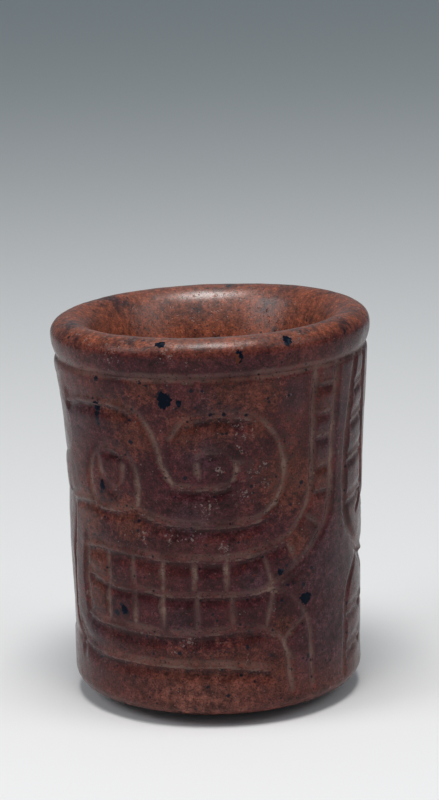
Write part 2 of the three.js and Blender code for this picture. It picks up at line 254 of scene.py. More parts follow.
# Dark flecks too small to be pieces: degrees, level or angle up the lip, width in mm
WALL_FLECKS = [
    [-45.2, 100.4, 2], [-26, 100.6, 1.1], [-23.6, 100.3, 1], [-7, 98.8, 1.3], [-3.2, 98.2, 1],
    [-31, 88.7, 1.1], [-33, 88.3, 0.7], [-31, 81.8, 1.4], [-0.8, 91.2, 1.1], [4.2, 90.8, 1.2],
    [12, 90.6, 0.8], [3.4, 84.7, 1], [5, 84.8, 0.9], [-10.4, 71.6, 1.5], [-3.8, 73, 0.9],
    [-14.5, 65.5, 0.8], [-7, 65.7, 0.8], [34, 66.8, 1.4], [25.5, 84.4, 0.7], [28, 94.9, 0.8],
    [20, 94.4, 1], [-42.2, 26.1, 2.1], [-24, 20.6, 1], [11.2, 17.6, 1.4], [-15, 15.7, 1.2],
    [-25.6, 15.2, 1], [-56.3, 10, 0.9], [-53.8, 9.4, 1.5], [1.2, 10.7, 0.8], [8.5, 8.6, 1.1],
    [-4.3, 5.3, 1.1], [3.3, 2.2, 1.2], [37.3, 11, 1.3], [36, 9.6, 0.9], [27.7, 35.2, 1.1],
    [35, 34.4, 1.2], [25.3, 31, 1.1], [-29.6, 57.5, 1.3], [-54, 49.3, 1], [-48, 39, 1],
    [-46.6, 89.4, 1.9], [-46.2, 88, 1.6], [-45.8, 86.7, 1.3], [-48.2, 94, 1], [-37.2, 26.7, 1.5],
    [-39.8, 29.1, 1.2], [-46.6, 64.3, 1.3], [-18.9, 97.4, 1.3], [-15.3, 97.1, 1.2],
    [-12.6, 93.4, 0.9], [70, 62, 1.6], [118, 48, 2.4], [131, 84, 1.4], [158, 22, 1.8],
    [-110, 52, 1.6], [-134, 78, 2.2], [-95, 30, 1.2],
]
LIP_FLECKS = [
    [8.6, -14, 1], [9.9, -4, 0.8], [9, 6, 0.9], [10.6, 13, 0.6], [-25.5, 67, 1.2],
    [35.5, 65, 1.2], [-62, 40, 1.4], [104, 52, 1.8], [171, 118, 1.8], [-150, 60, 1.4],
]

# Soft-edged patches on the wall: degrees, level, radius in mm
PATCHES = {
    "orange": [
        [6, 98, 7], [17, 96, 8], [-25, 99, 6], [-36, 91, 6], [-29, 84, 7], [-9, 86, 6],
        [2, 87, 5], [17, 86, 4], [29, 68, 11], [33, 48.5, 5], [-53, 42, 8], [-53, 31, 6],
        [-14, 6, 14], [4, 7, 13], [22, 7, 7], [-55, 57, 8], [-35, 57.5, 8], [26, 23, 4],
        [45, 68, 4], [150, 60, 16], [100, 92, 12], [-120, 20, 16], [-160, 90, 14],
    ],
    "grey": [
        [30, 94, 5], [-4, 79, 6], [50, 38, 13], [51, 14, 15], [-15, 22.7, 8], [-57, 17, 7],
        [47, 78, 6], [-62, 86, 9], [14, 37, 5], [54, 85, 6], [-8, 58, 7], [2, 91, 8],
        [105, 20, 14], [-100, 75, 15], [178, 40, 16],
    ],
    # Darker stone; the patch at -14 degrees, level 17, just under the chin line, is painted shade
    "dark": [
        [-2, 39, 11], [14, 38, 10], [15, 30, 10], [-4, 29, 9], [-16, 22, 8], [2, 19, 9],
        [38, 42, 12], [38, 22, 14], [-6, 77, 6], [150, 30, 14], [-150, 65, 14], [-14, 17, 8],
        [-24, 31, 6], [-28, 24, 6], [22, 33, 7], [44, 78, 7],
    ],
    # Palest stone, low on the foot
    "pale": [[-13, 0, 7.5], [-3, 0, 7.5], [172, 2, 12]],
    # Where the worn strips, with their painted highlight, are brightest and the painted shade
    # under them is weakest
    "bright": [
        [-20, 77, 3], [-17, 72, 4], [-14.5, 68.5, 3], [39.5, 80, 5], [8, 74, 3], [22, 61.5, 5],
        [-30, 22.5, 5], [51.5, 82, 3], [50, 72.5, 3], [-31, 67, 5], [-52, 66, 5], [-44, 60.3, 5],
        [-20.8, 40, 5], [-8.7, 40, 5], [3.8, 43, 5], [-21, 30, 4], [-46.6, 30, 5], [19, 35, 4],
        [29, 15, 5], [-9, 79.5, 3], [23, 87, 4], [26, 74, 4], [-58, 55, 5], [130, 60, 9],
        [100, 30, 8], [-32, 12.4, 6], [-16, 12, 7], [0, 12, 7],
    ],
    # Where tiny pale chips gather
    "chips": [
        [10, 86, 3.5], [14, 83.5, 1.6], [9.6, 80.5, 2], [14, 73, 2.2], [18.5, 74.5, 2],
        [19, 68.5, 2], [11, 65, 3], [-28, 53, 2.6], [-16.5, 52, 2.6], [-9, 52.5, 2.2],
        [3, 48.6, 2.4], [-12, 19.5, 2.6], [-17.5, 16.4, 1.8], [2, 74, 2], [-3, 62.5, 3.5],
        [120, 70, 4], [-130, 40, 4],
    ],
}
# Chips on the lip, with an angle up from its widest point in place of the level
LIP_CHIPS = [
    [-49, 45, 3.5], [-38, 10, 4], [-15, 32, 4.5], [9, 30, 2.5], [34, 58, 3], [140, 50, 4],
]
LIP_CHIP_SHARE = 0.8
# Fewer chips lie along the top of the lip, from this angle up over a width.
TOP_CHIPS_FROM = 10
TOP_CHIPS_WIDTH = 12 * MM
TOP_CHIP_SHARE = 0.55

# The handled stone's warmer colour starts between two angles up the lip; this also paints the
# lip's top lighter than its lower half. The polish starts outside the crest of the lip and fades
# inside it, and has these shares beside the bowl and down the hollow.
HANDLED_FROM = [-15, 60]
POLISH_STARTS = [-8 * MM, 0]
POLISH_FADES = [6 * MM, 20 * MM]
POLISH_BESIDE = 0.3
POLISH_BELOW = 0.1
# Half width in mm of the pale strip along the crease, which is a painted sheen
PAINTED_CREASE_SHEEN_MM = 1.1


# Shapes


def smooth_step(low, high, value):
    """0 below low, 1 above high, and 3 t^2 - 2 t^3 of the share t in between."""
    share = np.clip((value - low) / (high - low), 0, 1)
    return share * share * (3 - 2 * share)


def bezier(corners, count):
    """Points of a Bezier curve: each step replaces the corners by points between them."""
    share = np.linspace(0, 1, count)[:, None, None]
    points = np.repeat(np.array(corners, float)[None], count, axis=0)
    while points.shape[1] > 1:
        points = points[:, :-1] * (1 - share) + points[:, 1:] * share
    return points[:, 0]


def heading(angle):
    return np.array((np.cos(angle), np.sin(angle)))


def arc(centre, radii, start, end, count):
    """Points at centre + (radius cos a, radius sin a) with the angle a from start to end."""
    angle = np.linspace(start, end, count)
    return np.column_stack((np.cos(angle), np.sin(angle))) * radii + centre


def wall_radius(z):
    """The wall stands straight at the waist and flares as the square of the height."""
    share = np.clip((z - WALL_FOOT) / (WALL_TOP - WALL_FOOT), 0, None)
    return WAIST_RADIUS + (NECK_RADIUS - WAIST_RADIUS) * share * share


def bowl_profile(wall_rows):
    """Half section of the plain bowl as radius and height, from the middle of the underside
    over the lip to the middle of the hollow's floor. It is a chain of Bezier curves and arcs,
    each with its number of points."""
    foot_centre = np.array((WAIST_RADIUS - FOOT_ROUND, WALL_FOOT))
    foot_start = foot_centre + FOOT_ROUND * heading(-FOOT_ANGLE)
    underside_bend = (REST_RADIUS + UNDERSIDE_BEND * (foot_start[0] - REST_RADIUS), 0)
    shoulder_bend = (NECK_RADIUS, WALL_TOP + SHOULDER_BEND * SHOULDER_HEIGHT)
    crease_bend = (NECK_RADIUS, CREASE_Z + CREASE_BEND)
    lip_side_bend = (RIM_RADIUS, LIP_Z - LIP_SIDE_BEND)
    wall_z = np.linspace(WALL_FOOT, WALL_TOP, wall_rows)
    crease = (NECK_RADIUS - CREASE_DEPTH, CREASE_Z)
    inward = -heading(THROAT_SLOPE)
    lip_turn = np.pi / 2 + THROAT_SLOPE
    lip_centre = np.array((CREST_RADIUS, HEIGHT - LIP_INNER_ROUND))
    lip_end = lip_centre + LIP_INNER_ROUND * heading(lip_turn)
    throat = lip_end + inward * (lip_end[1] - THROAT_Z) / np.sin(THROAT_SLOPE)
    throat_bend = throat + inward * THROAT_BEND
    floor_bend = (HOLLOW_FLOOR_BEND * throat[0], FLOOR_Z)
    stretches = [
        bezier([(POLE_RADIUS, 0), (REST_RADIUS, 0)], 6),
        bezier([(REST_RADIUS, 0), underside_bend, foot_start], 9),
        arc(foot_centre, FOOT_ROUND, -FOOT_ANGLE, 0, 8),
        np.column_stack((wall_radius(wall_z), wall_z)),
        bezier([(NECK_RADIUS, WALL_TOP), shoulder_bend, crease], 5),
        bezier([crease, crease_bend, lip_side_bend, (RIM_RADIUS, LIP_Z)], 9),
        arc((CREST_RADIUS, LIP_Z), (LIP_REACH, LIP_HEIGHT), 0, np.pi / 2, 13),
        arc(lip_centre, LIP_INNER_ROUND, np.pi / 2, lip_turn, 9),
        bezier([lip_end, throat], 7),
        bezier([throat, throat_bend, floor_bend, (POLE_RADIUS, FLOOR_Z)], 24),
    ]
    return np.concatenate([stretches[0]] + [stretch[1:] for stretch in stretches[1:]])


class Profile:
    """The half section with the length along it, its outward direction and its lip."""

    def __init__(self, wall_rows):
        self.points = bowl_profile(wall_rows)
        steps = np.linalg.norm(np.diff(self.points, axis=0), axis=1)
        self.length = np.concatenate(([0], np.cumsum(steps)))
        along = np.gradient(self.points, self.length, axis=0)
        along /= np.linalg.norm(along, axis=1)[:, None]
        self.outward = np.column_stack((along[:, 1], -along[:, 0]))
        self.crease = self.nearest(NECK_RADIUS - CREASE_DEPTH, CREASE_Z)
        self.crest = self.nearest(CREST_RADIUS, HEIGHT)

    def nearest(self, radius, z):
        """Length along the profile at its point nearest to a radius and a height."""
        gap = np.hypot(self.points[:, 0] - radius, self.points[:, 1] - z)
        return self.length[np.argmin(gap)]

    def on_wall(self, level):
        z = wall_z_at(level)
        return self.nearest(wall_radius(z), z)

    def on_lip(self, up):
        lean = np.radians(up)
        return self.nearest(
            CREST_RADIUS + LIP_REACH * np.cos(lean), LIP_Z + LIP_HEIGHT * np.sin(lean)
        )

    def at(self, length):
        """Radius, height and outward direction at lengths along the profile."""
        return [
            np.interp(length, self.length, column)
            for column in (*self.points.T, *self.outward.T)
        ]


def wall_z_at(level):
    return WALL_FOOT + (WALL_TOP - WALL_FOOT) * np.asarray(level, float) / 100


def drawn(points):
    """Drawn points, in degrees and percent, as metres round and up the wall."""
    points = np.array(points, float)
    return np.column_stack((points[:, 0] * PER_DEGREE, wall_z_at(points[:, 1])))


def smooth_line(points, spacing=1.2 * MM):
    """Centripetal Catmull-Rom curve through the points: between two points it blends the
    straight lines through its four nearest points, timed by the root of their distances."""
    ends = 2 * points[[0, -1]] - points[[1, -2]]
    p = np.vstack((ends[:1], points, ends[1:]))
    steps = np.linalg.norm(np.diff(p, axis=0), axis=1)
    knots = np.concatenate(([0], np.cumsum(np.sqrt(steps))))
    count = max(2, int(steps[1:-1].sum() / spacing) + 1)
    t = np.linspace(knots[1], knots[-2], count)
    i = np.clip(np.searchsorted(knots, t, side="right") - 1, 1, len(points) - 1)

    def between(a, b, at_a, at_b):
        share = ((t - at_a) / (at_b - at_a))[:, None]
        return a * (1 - share) + b * share

    k0, k1, k2, k3 = knots[i - 1], knots[i], knots[i + 1], knots[i + 2]
    a1 = between(p[i - 1], p[i], k0, k1)
    a2 = between(p[i], p[i + 1], k1, k2)
    a3 = between(p[i + 1], p[i + 2], k2, k3)
    return between(between(a1, a2, k0, k2), between(a2, a3, k1, k3), k1, k2)


def nearest_on_line(across, up, line):
    """Offsets across and up from the nearest point of the line, and the place of that point
    along it, counted in points, over all the line's straight steps."""
    distance = np.full(across.shape, np.inf)
    found = [np.zeros(across.shape) for _ in range(3)]
    for k, (start, step) in enumerate(zip(line[:-1], np.diff(line, axis=0))):
        du, dv = across - start[0], up - start[1]
        share = np.clip((du * step[0] + dv * step[1]) / (step @ step), 0, 1)
        here = (du - share * step[0], dv - share * step[1], k + share)
        far = np.hypot(here[0], here[1])
        closer = far < distance
        distance = np.where(closer, far, distance)
        found = [np.where(closer, new, old) for new, old in zip(here, found)]
    return found


def short_way(degrees, turn):
    """Degrees past a turn, from -180 to 180."""
    return (degrees - turn + 180) % 360 - 180


def hump(value, top, end):
    """0 at 0, 1 at top and 0 again at end, with soft steps between."""
    return smooth_step(0, top, value) * (1 - smooth_step(top, end, value))


def inside(across, up, outline):
    """True where a line to the left crosses the closed outline an odd number of times."""
    odd = np.zeros(across.shape, bool)
    for (x0, y0), (x1, y1) in zip(outline, np.roll(outline, -1, axis=0)):
        if y0 == y1:
            continue
        crosses = (up < y0) != (up < y1)
        odd ^= crosses & (across > x0 + (up - y0) * (x1 - x0) / (y1 - y0))
    return odd


def ripple(points, height, wavelength, seed, waves=14):
    """Soft unevenness up to about a height: the sum of sine waves of one length in random
    directions, over the root of twice their number."""
    random = np.random.default_rng(seed)
    directions = random.normal(size=(waves, 3))
    directions *= 2 * np.pi / wavelength / np.linalg.norm(directions, axis=1)[:, None]
    start = random.uniform(0, 2 * np.pi, waves)
    total = np.zeros(points.shape[:-1])
    for direction, phase in zip(directions, start):
        total += np.sin(points @ direction + phase)
    return height * total / np.sqrt(2 * waves)


class Carving:
    """Everything cut into the wall, as lines with a half width and a depth."""

    def __init__(self, sizes):
        main = (sizes.groove_width / 2, sizes.groove_depth, False)
        fine = (sizes.fine_width / 2, sizes.fine_depth, False)
        faint = (sizes.fine_width / 2, sizes.fine_depth / 2, False)
        tooth = (sizes.fine_width / 2, sizes.fine_depth, True)
        rungs = [[[RUNG_START, level], [RUNG_END, level]] for level in RUNG_LEVELS]
        rungs += [[start, [SIDE_RUNG_END, start[1] + SIDE_RUNG_RISE]] for start in SIDE_RUNGS]
        upper, middle, lower = TOOTH_LEVELS
        teeth = [[[turn, upper], [turn, middle]] for turn in UPPER_TEETH]
        teeth += [[[turn, middle], [turn, lower]] for turn in LOWER_TEETH]
        self.both_heads = [
            (main, [BROW, EYE_RING, LIP_LINE, CHIN_LINE, JAW_LINE, CHEEK_LINE, TOOTH_ROW_END]),
            (fine, [PUPIL_SCROLL, NOSTRIL_RING, NOSTRIL_FLOOR, SNOUT_LINE, GUM_LINE]),
            (faint, [PUPIL_TOP, NOSTRIL_PUPIL]),
            (tooth, teeth + BACK_TEETH + [PUPIL_TICK]),
        ]
        self.one_head = [
            (main, [FRONT_HEAD_BORDER, SIDE_HEAD_BORDER]),
            (fine, [FRONT_HEAD_THROAT, SIDE_HEAD_THROAT] + rungs),
        ]
        self.edge_round, self.edge_drop = sizes.edge_round, sizes.edge_drop

    def cut(self, across, up, cuts, line, half, depth, pointed):
        """Cuts one line. Upright, it is a groove: full depth in its core, then an S-shaped rise
        to the wall. Level, it dips and comes up to a crest at its lower edge, and falls sharply
        below that. A slanting line is a blend of the two, by the squares of its heading. A
        pointed line is a spindle, as wide as a circle's chord along it."""
        path = smooth_line(drawn(line))
        reach = LINE_REACH * half
        low, high = path.min(axis=0) - reach, path.max(axis=0) + reach
        near = (across > low[0]) & (across < high[0]) & (up > low[1]) & (up < high[1])
        if not near.any():
            return
        beside, above, along = nearest_on_line(across[near], up[near], path)
        squares = np.gradient(path, axis=0) ** 2
        flatness = np.interp(along, np.arange(len(path)), squares[:, 0] / squares.sum(axis=1))
        taper = np.ones(along.shape)
        if pointed:
            share = along / (len(path) - 1)
            taper = np.sqrt(np.clip(1 - (2 * share - 1) ** 2, POINT_SQUARE, 1))
            flatness = np.zeros(along.shape)
        wide = half * taper
        distance = np.hypot(beside, above) / wide
        crest = above / wide + CREST_SHIFT
        level = flatness * (1 - smooth_step(*LEVEL_FADE, np.abs(beside) / wide))
        upright = 1 - flatness

        groove = 1 - smooth_step(GROOVE_CORE, GROOVE_EDGE, distance)
        dip = DIP_SHARE * hump(crest, DIP_BOTTOM, LEVEL_END)
        step = np.where(crest > 0, dip, hump(-crest, FALL_FOOT, LEVEL_END))
        here = depth * taper * (upright * groove + level * step)
        cuts["sunk"][near] = np.maximum(cuts["sunk"][near], here)

        for key, (middle, half_strip) in STRIPS.items():
            off, share = (distance, upright) if key == "groove_mm" else (crest, level)
            away = (np.abs(off - middle) - half_strip) * wide / MM + SLANT_MM * (1 - share)
            cuts[key][near] = np.minimum(cuts[key][near], away)

    def at(self, degrees, z, points):
        """How deep the wall is cut at each point, and how many millimetres it is from the
        bottom of an upright groove, from a level line's face, where wear and a painted highlight
        go, from its crest, which gets the same, and from the strip under the crest, where shade is
        painted. These are below zero inside."""
        past = short_way(degrees, HEAD_TURN)
        turn, folded = HEAD_TURN + past, HEAD_TURN - np.abs(past)
        sway = ripple(points, *SWAY)
        up = z + ripple(points, *RISE_AND_FALL)
        cuts = {key: np.full(z.shape, FAR_MM) for key in STRIPS}
        cuts["sunk"] = np.zeros(z.shape)
        for lines, angle in ((self.both_heads, folded), (self.one_head, turn)):
            across = angle * PER_DEGREE + sway
            for kind, group in lines:
                for line in group:
                    self.cut(across, up, cuts, line, *kind)
        cuts["sunk"] *= 1 + ripple(points, *DEPTH_CHANGE)

        outline = smooth_line(drawn(SNOUT_OUTLINE))
        far = drawn([[FIELD_MIDDLE, SNOUT_OUTLINE[-1][1]], [FIELD_MIDDLE, SNOUT_OUTLINE[0][1]]])
        closed = np.vstack((far[1:], outline, far[:1]))
        across = folded * PER_DEGREE + sway
        beside, above, _ = nearest_on_line(across, up, closed)
        within = np.hypot(beside, above) * np.where(inside(across, up, closed), 1, -1)
        level = 100 * (z - WALL_FOOT) / (WALL_TOP - WALL_FOOT)
        depth = np.interp(level, *np.transpose(FIELD_DEPTHS)) * MM
        field = depth * smooth_step(*FIELD_EDGE, within)
        low, high = SNOUT_TIP_LEVELS
        tip = smooth_step(*low, level) * smooth_step(*high, level)
        tip *= SNOUT_TIP_DEPTH * smooth_step(*SNOUT_TIP, folded)
        cuts["sunk"] = np.maximum(cuts["sunk"], np.maximum(field, tip))
        cuts["sunk"] += self.edge_drop * np.exp(-np.abs(within) / self.edge_round)
        return cuts


def out_of_level(points):
    """The rim rises towards +X: z grows by rise * x / rim width * z / height."""
    x, z = points[..., 0], points[..., 2]
    points[..., 2] = z + RIM_RISE * x / (2 * RIM_RADIUS) * z / HEIGHT
    return points


def bowl_surface(profile, carving, degrees, length, lift=0):
    """Points of the carved stone, and how far they are from the strips at the cuts. A point of
    the plain bowl is turned round the axis, at (r sin a, -r cos a, z), and moved along the
    profile's outward direction by its lift and the unevenness of the hand-worked stone, less
    the depth of the carving."""
    radius, z, out_r, out_z = profile.at(length)
    angle = np.radians(degrees)
    smooth = np.stack((radius * np.sin(angle), -radius * np.cos(angle), z), axis=-1)
    outer = length < profile.crease
    cuts = carving.at(degrees[outer], z[outer], smooth[outer])
    fade = 1 - smooth_step(*CARVING_END, z[outer])
    sunk = np.zeros(z.shape)
    sunk[outer] = cuts["sunk"] * fade
    strips = {key: np.full(z.shape, FAR_MM) for key in STRIPS}
    for key, away in strips.items():
        away[outer] = np.clip(cuts[key] + FAR_MM * (1 - fade), -FAR_MM, FAR_MM)
    uneven = sum(ripple(smooth, *waves) for waves in UNEVENNESS)
    uneven *= smooth_step(0, UNEVEN_FROM, z)
    move = lift + uneven - sunk
    radius = radius + out_r * move
    points = np.stack(
        (radius * np.sin(angle), -radius * np.cos(angle), z + out_z * move), axis=-1
    )
    return out_of_level(points), strips


def closed_mesh(name, grid, first_pole, last_pole, **attributes):
    """A mesh from a grid of rows that each go once round, closed by a point at each end.
    Rows are in the order that makes row direction x column direction point inwards."""
    rows, columns = grid.shape[:2]
    points = np.vstack((grid.reshape(-1, 3), first_pole, last_pole))
    index = np.arange(rows * columns).reshape(rows, columns)
    after = np.roll(index, -1, axis=1)
    quads = np.stack((index[:-1], after[:-1], after[1:], index[1:]), axis=-1).reshape(-1, 4)
    first, last = rows * columns, rows * columns + 1
    start_fan = np.column_stack((np.full(columns, first), after[0], index[0]))
    end_fan = np.column_stack((index[-1], after[-1], np.full(columns, last)))
    mesh = bpy.data.meshes.new(name)
    faces = quads.tolist() + start_fan.tolist() + end_fan.tolist()
    mesh.from_pydata(points.tolist(), [], faces)
    mesh.polygons.foreach_set("use_smooth", np.ones(len(faces), bool))
    for key, values in attributes.items():
        layer = mesh.attributes.new(key, "FLOAT", "POINT")
        flat = np.concatenate((values.ravel(), values[0, :1], values[-1, :1]))
        layer.data.foreach_set("value", flat.astype(np.float32))
    mesh.update()
    made = bpy.data.objects.new(name, mesh)
    bpy.context.scene.collection.objects.link(made)
    return made


def fleck_distance(profile, degrees, length):
    """Millimetres along the surface to the edge of the nearest dark fleck."""
    radius = profile.at(length)[0]
    nearest = np.full(length.shape, FAR_MM)
    spots = [(turn, profile.on_wall(level), width) for turn, level, width in WALL_FLECKS]
    spots += [(turn, profile.on_lip(up), width) for turn, up, width in LIP_FLECKS]
    for turn, place, width in spots:
        beside = np.radians(short_way(degrees, turn)) * radius
        nearest = np.minimum(nearest, np.hypot(beside, length - place) / MM - width / 2)
    return nearest


def patches(degrees, place, rows, per_degree):
    """Soft-edged round patches: e to the power minus the square of the distance in radii,
    and the greatest where patches overlap."""
    total = np.zeros(place.shape)
    for turn, middle, radius in rows:
        away = np.hypot(short_way(degrees, turn) * per_degree, place - middle) / (radius * MM)
        total = np.maximum(total, np.exp(-(away**2)))
    return total


def colour_marks(profile, degrees, length):
    """What the stone's finish needs to know at each point, apart from the carving: how far
    the lip and the hollow are handled, which also paints the lip's top lighter than its lower
    half, how polished they are (most at the front and at the back), the painted sheen along the
    crease, the flecks, the patches and the chips."""
    z = profile.at(length)[1]
    outer = (length < profile.crease).astype(float)
    from_crest = length - profile.crest
    marks = {"fleck_mm": fleck_distance(profile, degrees, length)}
    # The warmer handled colour, which by starting up the lip also paints the lip's top lighter than
    # its lower half
    marks["handled"] = smooth_step(*(profile.on_lip(up) for up in HANDLED_FROM), length)
    facing = POLISH_BESIDE + (1 - POLISH_BESIDE) * np.cos(np.radians(degrees)) ** 4
    fading = 1 - (1 - POLISH_BELOW) * smooth_step(*POLISH_FADES, from_crest)
    marks["polish"] = facing * smooth_step(*POLISH_STARTS, from_crest) * fading
    # Painted sheen: a pale strip along the crease under the lip
    crease_gap = np.abs(length - profile.crease) / MM - PAINTED_CREASE_SHEEN_MM
    marks["painted_crease_sheen_mm"] = np.clip(crease_gap, 0, FAR_MM)
    for key, rows in PATCHES.items():
        spots = [(turn, wall_z_at(level), radius) for turn, level, radius in rows]
        marks[key] = outer * patches(degrees, z, spots, PER_DEGREE)
    start = profile.on_lip(TOP_CHIPS_FROM)
    on_top = hump(length - start, profile.crest - start, TOP_CHIPS_WIDTH)
    marks["chips"] += TOP_CHIP_SHARE * (1 - outer) * on_top
    spots = [(turn, profile.on_lip(up), radius) for turn, up, radius in LIP_CHIPS]
    gathered = LIP_CHIP_SHARE * patches(degrees, length, spots, RIM_PER_DEGREE)
    marks["chips"] = np.maximum(marks["chips"], gathered)
    return marks


def nodule_outline(turn, around):
    """The lumpy outline's share of its half width at each angle: the smooth wave of whole
    turns that passes through the six shares, and three finer waves that make it jagged."""
    count = len(NODULE_SHARES)
    waves = np.fft.rfft(NODULE_SHARES) / count
    angle = around - turn * np.pi / count
    share = np.full(around.shape, waves[0].real)
    for k in range(1, count // 2 + 1):
        both = 1 if 2 * k == count else 2
        share += both * (waves[k] * np.exp(1j * k * angle)).real
    for size, number, shift in NODULE_WAVES:
        share += size * np.sin(number * angle + shift * turn)
    return share


# Finishes

# Noises in the stone: scale in turns per metre, detail and roughness
BLOTCHES = (120, 4, 0.6)
MOTTLE = (480, 4, 0.65)
GRAIN = (1900, 3, 0.7)
CHIP_GRAIN = (1000, 3, 0.65)
FLECK_GRAIN = (900, 2, 0.6)
CRYSTALS = (2200, 2, 0.6)
# Patterns: a noise, the two levels between which it shows, and the most that it shows
CLOUDS = (34, 4, 0.6, 0.38, 0.62, 1)
DARK_GRAIN = (1500, 2, 0.5, 0.6, 0.67, 0.85)
RED_GRAIN = (900, 2, 0.5, 0.62, 0.72, 0.5)
SCRATCHES = (230, 3, 0.6, 0.62, 0.7, 1)
PITS = (800, 3, 0.6, 0.6, 0.74, 1)
MINERAL_CLOUDS = (420, 4, 0.65, 0.5, 0.72, 0.8)
MINERAL_SPECKS = (620, 3, 0.6, 0.49, 0.54, 1)
# The levels and the most of other things: edges of patches, the foot's height in metres, and
# how the blotches and the mottle break up what lies over them
PATCH_EDGE = (1.3, 2.1, 0.8)
FOOT_HEIGHT = (32 * MM, 14 * MM, 0.8)
PALE_MOTTLE = (0.3, 0.6, 0.8)
HANDLED_BLOTCHES = (0.25, 0.5, 1)
WORN_BLOTCHES = (0.35, 0.62, 1)
SCRATCHED_BLOTCHES = (0.42, 0.62, 0.3)
CHIPPED = (0.67, 0.72, 0.8)
FLECKED_MM = (0.75, 0.4, 0.95)
# The same for the strips at the cuts, in mm from each strip: painted shade under the
# crests, and pale dust and wear in the grooves that also stands for a painted highlight on the
# level lines' faces and crests and a painted sheen along the crease
PAINTED_SHADE_STRIP = ("painted_shade_mm", 0.3, -0.2, 0.85)
WEAR_AND_HIGHLIGHT = (
    ("face_mm", 0.4, -1.1, 0.3), ("crest_mm", 0.55, 0.15, 0.6), ("groove_mm", 0.6, -0.4, 0.35),
    ("groove_mm", -0.3, -0.65, 0.75), ("painted_crease_sheen_mm", 1, -0.3, 0.55),
)
# How far the mottle and the grain fray the edges of patches and, in mm, of the strips
PATCH_FRAY = (1.6, 0.8)
STRIP_FRAY = (3.6, 1.2)
STRIP_SHIFT = -2.4
# Small flecks all over: cells per metre, reach and soft edge in cells, how rare, soft step
SMALL_FLECKS = ((170, 0.13, 0.06, 0.72, 0.04), (420, 0.2, 0.06, 0.78, 0.04))
SMALL_FLECK_MOST = 0.9
SCRATCH_STRETCH = (1, 1, 9)
VARY_LEVELS = (0.3, 0.7)
# How much the blotches, the mottle and the grain darken and brighten the colour
VARIATION = (0.35, 0.5, 0.6)
# How much the bright patches take from the painted shade and add to the wear and painted
# highlight, and that mark's share from the blotches and without them
BRIGHT_SHADE, BRIGHT_WEAR = -0.7, 0.6
PATCHY_WEAR = (0.6, 0.3)
# How far the blotches fray the foot's tan, the chips raise their grain, and the grain frays
# the flecks in mm
FOOT_FRAY, CHIP_LIFT, FLECK_FRAY = 20 * MM, 0.14, 1.1
# How much the unevenness and the wear roughen the stone, and what the mottle and the grain
# add to its relief
UNEVEN_ROUGHNESS, WORN_ROUGHNESS = 0.3, 0.35
MOTTLE_RELIEF, GRAIN_RELIEF = 0.9, 0.5
# The mineral's sheen as a share of the stone's
MINERAL_SHEEN = 1 / 3
# Strength of a bump and its height in metres; roughness from the crystals, and without them
STONE_BUMP = (0.6, 0.16 * MM)
CRYSTAL_BUMP = (0.4, 0.1 * MM)
CRYSTAL_ROUGHNESS = (0.3, 0.22)


class Recipe:
    """A material whose nodes are added one at a time, each naming what feeds its sockets."""

    def __init__(self, name):
        self.material = bpy.data.materials.new(name)
        self.material.use_nodes = True
        self.tree = self.material.node_tree
        self.tree.nodes.clear()

    def add(self, kind, inputs=None, **settings):
        node = self.tree.nodes.new(kind)
        for key, value in settings.items():
            setattr(node, key, value)
        for key, value in (inputs or {}).items():
            if isinstance(value, bpy.types.NodeSocket):
                self.tree.links.new(value, node.inputs[key])
            else:
                node.inputs[key].default_value = value
        return node

    def noise(self, where, scale, detail, rough):
        inputs = {"Vector": where, "Scale": scale, "Detail": detail, "Roughness": rough}
        return self.add("ShaderNodeTexNoise", inputs).outputs["Fac"]

    def rise(self, value, low, high, top=1.0):
        """0 where value is at low, top where it is at high, with a soft step between."""
        inputs = {"Value": value, "From Min": low, "From Max": high, "To Max": top}
        node = self.add("ShaderNodeMapRange", inputs, interpolation_type="SMOOTHSTEP")
        return node.outputs["Result"]

    def pattern(self, where, scale, detail, rough, *levels):
        """Noise that shows between its levels."""
        return self.rise(self.noise(where, scale, detail, rough), *levels)

    def math(self, operation, *values):
        return self.add("ShaderNodeMath", dict(enumerate(values)), operation=operation).outputs[0]

    def times(self, one, other):
        return self.math("MULTIPLY", one, other)

    def scaled(self, value, factor, shift):
        """The value times the factor, plus the shift."""
        return self.math("MULTIPLY_ADD", value, factor, shift)

    def mix(self, amount, low, high, blend_type="MIX"):
        inputs = {0: amount, 6: as_colour(low), 7: as_colour(high)}
        node = self.add("ShaderNodeMix", inputs, data_type="RGBA", blend_type=blend_type)
        return node.outputs[2]

    def vary(self, colour, noise, amount):
        """Darkens and brightens a colour by up to the amount, as the noise falls and rises."""
        low, high = VARY_LEVELS
        inputs = {
            "Value": noise, "From Min": low, "From Max": high,
            "To Min": 1 - amount, "To Max": 1 + amount,
        }
        factor = self.add("ShaderNodeMapRange", inputs).outputs["Result"]
        return self.mix(1.0, colour, factor, "MULTIPLY")

    def value(self, name):
        return self.add("ShaderNodeAttribute", attribute_name=name).outputs["Fac"]

    def bump(self, height, strength, distance):
        inputs = {"Height": height, "Strength": strength, "Distance": distance}
        return self.add("ShaderNodeBump", inputs).outputs["Normal"]

    def finish(self, inputs):
        shader = self.add("ShaderNodeBsdfPrincipled", inputs)
        self.add("ShaderNodeOutputMaterial", {"Surface": shader.outputs[0]})
        return self.material


def as_colour(value):
    if isinstance(value, bpy.types.NodeSocket):
        return value
    return (*value[:3], 1.0)


